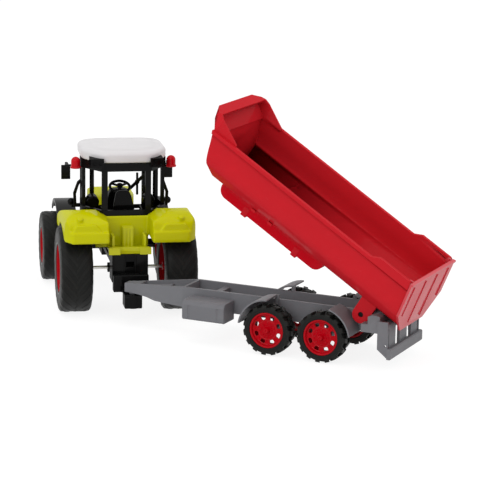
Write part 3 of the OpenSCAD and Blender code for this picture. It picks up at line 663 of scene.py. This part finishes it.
def bolt_head(radius, r, y, tall):
    """A small domed head of radius r on the rim's face, its middle at a radius from the axle."""
    work = bmesh.new()
    rows = []
    for q, h in ((r, -0.3), (r, 0.55 * tall), (0.7 * r, 0.9 * tall), (0.25 * r, tall)):
        rows.append([work.verts.new((q * math.cos(a), y + h, radius + q * math.sin(a)))
                     for a in (math.pi * k / 4 for k in range(8))])
    for low, high in zip(rows, rows[1:]):
        for k in range(8):
            n = (k + 1) % 8
            work.faces.new((low[k], low[n], high[n], high[k]))
    work.faces.new(rows[0])
    work.faces.new(rows[-1])
    return work


def rim(node, joint, side, r, w, dish, hub_r, axle_end):
    """A wheel's rim on the left (side 1) or right (side -1): barrel, dished disc with openings,
    stepped hub and a ring of bolts. Where axle_end isn't 0 it says how far from the rim's middle
    the axle stops, and the hub closes in a nose just outside that."""
    face = w / 2
    disc_y = face - dish
    back_y = disc_y - DISC
    barrel = spun([(r - 0.02, face - 0.35), (r - 0.35, face), (r - 1.0, face), (r - 1.5, face - 0.4),
                   (r - 2.0, disc_y + 0.2), (r - 2.2, back_y), (r - 1.6, back_y - 0.4),
                   (r - 1.5, -face), (r - 0.02, -face)])
    steps = [(BORE + 1.3, disc_y + 0.8), (0.52 * hub_r, disc_y + 0.8), (0.56 * hub_r, disc_y + 0.3),
             (0.9 * hub_r, disc_y + 0.3), (hub_r, disc_y - 0.1), (hub_r, back_y), (TUBE, back_y),
             (TUBE, -face)]
    if axle_end:
        # a closed nose with a dimple
        nose = [(BORE, -face), (BORE, axle_end + 0.1), (0, axle_end + 0.1), (0, axle_end + 0.5),
                (0.6, axle_end + 0.55), (0.9, axle_end + 0.95), (1.9, axle_end + 0.8)]
    else:
        nose = [(BORE, -face), (BORE, disc_y + 1.5), (BORE + 0.8, disc_y + 1.5)]
    hub = spun(nose + steps)
    a, b = hub_r + 0.8, r - 2.9
    line = [(hub_r - 0.3, disc_y - 0.1), (hub_r + 0.3, disc_y + 0.25), (a, disc_y),
            (a + 0.34 * (b - a), disc_y - 0.1), (a + 0.67 * (b - a), disc_y - 0.1), (b, disc_y),
            (r - 2.4, disc_y + 0.3), (r - 1.9, disc_y + 0.2)]
    disc = add_object(node + "_disc", as_mesh(pierced_disc(line, 2, 5), node, Matrix()))
    modifier(disc, "SOLIDIFY", thickness=DISC, offset=-1)
    baked(disc)
    whole = bmesh.new()
    whole.from_mesh(disc.data)
    bpy.data.objects.remove(disc)
    for part in (barrel, hub):
        mesh = as_mesh(part, node, Matrix())
        whole.from_mesh(mesh)
        bpy.data.meshes.remove(mesh)
    bmesh.ops.recalc_face_normals(whole, faces=whole.faces)
    mesh = bpy.data.meshes.new(node)
    whole.to_mesh(mesh)
    whole.free()
    made = add_object(node + "_moulding", mesh)
    head = bolt_head(0.74 * hub_r, 0.6, disc_y + 0.3, 0.5)
    bolt = add_object(node + "_bolt", as_mesh(head, node, Matrix()))
    give_inputs(modifier(made, "NODES", node_group=BOLTS), Repeated=bolt, Count=WINDOWS)
    baked(made)
    bpy.data.objects.remove(bolt)
    flip = Matrix.Identity(4) if side > 0 else Matrix.Rotation(math.pi, 4, "Z")
    made.data.transform(wheel_place(joint) @ Matrix.Translation((0, along_axle(node, joint), 0)) @ flip)
    return settle(made, frame["nodes"][node]["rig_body"], "wheel_red", node, angle=30)


# ---------- the pieces ----------


def roof():
    """White roof: a rounded slab with a low raised panel."""
    low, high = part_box("roof")
    to_mm = TRACTOR.inverted()
    panel_rise, shoulder = 1.2, 3.6
    base = (to_mm @ low).z
    top = (to_mm @ high).z - panel_rise
    turn_in, turn_up = 4.4, 3.2

    def outline(inset, z):
        half = eased([(-10.4 + inset, 0, 0), (-10 + inset, 22 - 0.6 * inset, 0), (14, 36.8 - inset, 0),
                      (54, 36.6 - inset, 0), (64 - inset, 26 - 0.6 * inset, 0), (65.6 - inset, 0, 0)], 7, 5)
        ring = [Vector((p.x, p.y, z)) for p in half]
        return ring + [Vector((p.x, -p.y, z)) for p in reversed(half[1:-1])]

    rings = [outline(0.9, base), outline(0.25, base + 0.5), outline(0, base + 1.4),
             outline(0, top - shoulder)]
    for i in range(1, 7):
        a = math.radians(15 * i)
        rings.append(outline(turn_in * (1 - math.cos(a)), top - shoulder + turn_up * math.sin(a)))
    rings += [outline(9, top), outline(9.8, top + 0.5), outline(14, top + 0.75), outline(26, top + 1.1)]
    made = add_object("roof_moulding", as_mesh(joined_rings(rings), "roof", TRACTOR))
    return settle(made, "tractor", "white", "roof", angle=50)


# flowing mouldings: voxel size in millimetres, then the number of smoothing passes
SOFT_NODES = {"rear_fenders": (0.72, 10), "bonnet": (0.6, 10), "toolboxes": (0.4, 5),
              "front_fender_left": (0.45, 5), "front_fender_right": (0.45, 5), "seat": (0.5, 6),
              "dashboard": (0.6, 5)}
# how far the edges are rounded, in millimetres, where it isn't the usual amount
ROUND_NODES = {"hitch_block": 1.5, "headlamps": 0.3, "tipper_body": 0.3, "tipper_rail": 0.5,
               "tailgate": 0.3, "rear_bumper": 0.4, "front_guards": 0.3, "rear_guards": 0.3}
USUAL_ROUNDING = 0.35

# left and right wheels of each axle: words in the node names, joint, then the tread's bars, their
# depth, lean and width, then the rim's dish and hub radius
WHEELS = [
    ("rear", ("left", "right"), "rear_wheels_roll", 24, 0.28, 0.5, 2.6, 3.6, 11),
    ("front", ("left", "right"), "front_wheels_roll", 22, 0.28, 0.5, 2.4, 3.2, 8.6),
    ("trailer", ("fl", "fr"), "trailer_front_wheels_roll", 15, 1.9, 0.12, 2.9, 2.6, 8),
    ("trailer", ("rl", "rr"), "trailer_rear_wheels_roll", 15, 1.9, 0.12, 2.9, 2.6, 8),
]

wheel_nodes = set()
for kind, words, joint, bars, deep, lean, wide, dish, hub_r in WHEELS:
    for word, side in zip(words, (1, -1)):
        tyre_node, rim_node = f"{kind}_tyre_{word}", f"{kind}_rim_{word}"
        wheel_nodes |= {tyre_node, rim_node}
        r, w = turned_sizes(tyre_node, joint)
        rim_r, rim_w = turned_sizes(rim_node, joint)
        tyre(tyre_node, joint, r, rim_r, w, deep, bars, lean, wide)
        reach = 0
        if kind == "trailer":
            axle = joint.replace("_wheels_roll", "_axle")
            reach = turned_sizes(axle, joint)[1] / 2 - abs(along_axle(rim_node, joint))
        rim(rim_node, joint, side, rim_r, rim_w, dish, hub_r, reach)

roof()
for node in sorted(frame["nodes"]):
    if node in wheel_nodes or node == "roof":
        continue
    if node in SOFT_NODES:
        softened(node, *SOFT_NODES[node])
    else:
        rounded(node, ROUND_NODES.get(node, USUAL_ROUNDING))


# ---------- floor, light and background ----------


def seen_or_mirrored(tree):
    """1 for camera, mirror and transmission rays, which see the plain white background."""
    path = tree.nodes.new("ShaderNodeLightPath")
    total = path.outputs["Is Camera Ray"]
    for name in ("Is Glossy Ray", "Is Transmission Ray"):
        add = tree.nodes.new("ShaderNodeMath")
        add.operation = "MAXIMUM"
        tree.links.new(total, add.inputs[0])
        tree.links.new(path.outputs[name], add.inputs[1])
        total = add.outputs[0]
    return total


def add_floor():
    """Pale paper that keeps the toy's shadow, and is near white where the camera sees it."""
    work = bmesh.new()
    bmesh.ops.create_grid(work, x_segments=8, y_segments=8, size=6)
    mesh = bpy.data.meshes.new("floor")
    work.to_mesh(mesh)
    work.free()
    floor = add_object("floor", mesh)
    material = bpy.data.materials.new("pale_floor")
    material.use_nodes = True
    tree = material.node_tree
    tree.nodes.clear()
    paper = tree.nodes.new("ShaderNodeBsdfDiffuse")
    paper.inputs["Color"].default_value = (0.8, 0.8, 0.8, 1)
    seen = tree.nodes.new("ShaderNodeBsdfDiffuse")
    seen.inputs["Color"].default_value = (0.22, 0.22, 0.22, 1)
    glow = tree.nodes.new("ShaderNodeEmission")
    glow.inputs["Strength"].default_value = 0.86
    lifted = tree.nodes.new("ShaderNodeAddShader")
    tree.links.new(seen.outputs[0], lifted.inputs[0])
    tree.links.new(glow.outputs[0], lifted.inputs[1])
    choice = tree.nodes.new("ShaderNodeMixShader")
    tree.links.new(seen_or_mirrored(tree), choice.inputs[0])
    tree.links.new(paper.outputs[0], choice.inputs[1])
    tree.links.new(lifted.outputs[0], choice.inputs[2])
    out = tree.nodes.new("ShaderNodeOutputMaterial")
    tree.links.new(choice.outputs[0], out.inputs[0])
    mesh.materials.append(material)


def add_world(strength):
    """Even light all round, with plain white behind the toy."""
    world = bpy.data.worlds.new("studio")
    bpy.context.scene.world = world
    world.use_nodes = True
    tree = world.node_tree
    tree.nodes.clear()
    soft = tree.nodes.new("ShaderNodeBackground")
    soft.inputs["Strength"].default_value = strength
    plain = tree.nodes.new("ShaderNodeBackground")
    plain.inputs["Strength"].default_value = 1.0
    for background in (soft, plain):
        background.inputs["Color"].default_value = (1, 1, 1, 1)
    choice = tree.nodes.new("ShaderNodeMixShader")
    tree.links.new(seen_or_mirrored(tree), choice.inputs[0])
    tree.links.new(soft.outputs[0], choice.inputs[1])
    tree.links.new(plain.outputs[0], choice.inputs[2])
    out = tree.nodes.new("ShaderNodeOutputWorld")
    tree.links.new(choice.outputs[0], out.inputs[0])


PANELS_FACE = Vector((0, 0, 0.06))


def add_panel(name, at, size, power):
    data = bpy.data.lights.new(name, "AREA")
    data.shape = "RECTANGLE"
    data.size, data.size_y = size
    data.energy = power
    panel = bpy.data.objects.new(name, data)
    bpy.context.scene.collection.objects.link(panel)
    panel.location = at
    panel.rotation_euler = (PANELS_FACE - Vector(at)).to_track_quat("-Z", "Y").to_euler()


add_camera()
add_floor()
add_world(0.8)
add_panel("top_panel", (-0.25, 0.1, 1.5), (1.6, 1.4), 5.5)
add_panel("side_panel", (-1.2, 1.1, 0.9), (1.0, 0.8), 4.5)
bpy.context.scene.view_settings.view_transform = "Standard"
